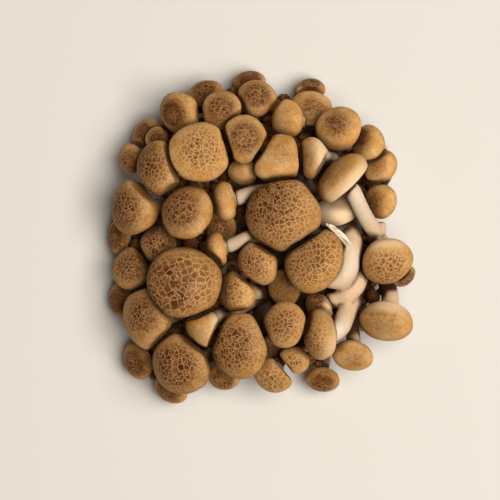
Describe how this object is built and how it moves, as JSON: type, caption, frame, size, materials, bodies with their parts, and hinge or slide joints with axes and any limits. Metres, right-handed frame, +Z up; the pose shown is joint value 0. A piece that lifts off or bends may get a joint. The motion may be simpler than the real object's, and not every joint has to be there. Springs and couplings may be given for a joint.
{
  "type": "mushroom bunch",
  "caption": "Bunch of brown beech mushrooms lying on its side: many round netted caps on pale stems that grow from one cut butt.",
  "frame": {"origin": "on the surface it lies on, under the middle of its bounding box", "axes": "+Z up as it lies, +Y towards the side with the small smooth caps, +X towards the butt and the bare stems"},
  "size_m": [0.1176, 0.1278, 0.0478],
  "materials": {
    "cap_skin": "natural, soft satin",
    "flesh": "natural, matte"
  },
  "bodies": {
    "root": {"cap_01": "cap_skin", "cap_02": "cap_skin", "cap_03": "cap_skin", "cap_04": "cap_skin", "cap_05": "cap_skin", "cap_06": "cap_skin", "cap_07": "cap_skin", "cap_08": "cap_skin", "cap_09": "cap_skin", "cap_10": "cap_skin", "cap_11": "cap_skin", "cap_12": "cap_skin", "cap_13": "cap_skin", "cap_14": "cap_skin", "cap_15": "cap_skin", "cap_16": "cap_skin", "cap_17": "cap_skin", "cap_18": "cap_skin", "cap_19": "cap_skin", "cap_20": "cap_skin", "cap_21": "cap_skin", "cap_22": "cap_skin", "cap_23": "cap_skin", "cap_24": "cap_skin", "cap_25": "cap_skin", "cap_26": "cap_skin", "cap_27": "cap_skin", "cap_28": "cap_skin", "cap_29": "cap_skin", "cap_30": "cap_skin", "cap_31": "cap_skin", "cap_32": "cap_skin", "cap_33": "cap_skin", "cap_34": "cap_skin", "cap_35": "cap_skin", "cap_36": "cap_skin", "cap_37": "cap_skin", "cap_38": "cap_skin", "cap_39": "cap_skin", "cap_40": "cap_skin", "cap_41": "cap_skin", "cap_42": "cap_skin", "cap_43": "cap_skin", "cap_44": "cap_skin", "cap_45": "cap_skin", "cap_46": "cap_skin", "cap_47": "cap_skin", "cap_48": "cap_skin", "cap_49": "cap_skin", "cap_50": "cap_skin", "cap_51": "cap_skin", "cap_52": "cap_skin", "cap_53": "cap_skin", "cap_54": "cap_skin", "cap_55": "cap_skin", "cap_56": "cap_skin", "cap_57": "cap_skin", "cap_58": "cap_skin", "stems_and_butt": "flesh"}
  },
  "joints": []
}
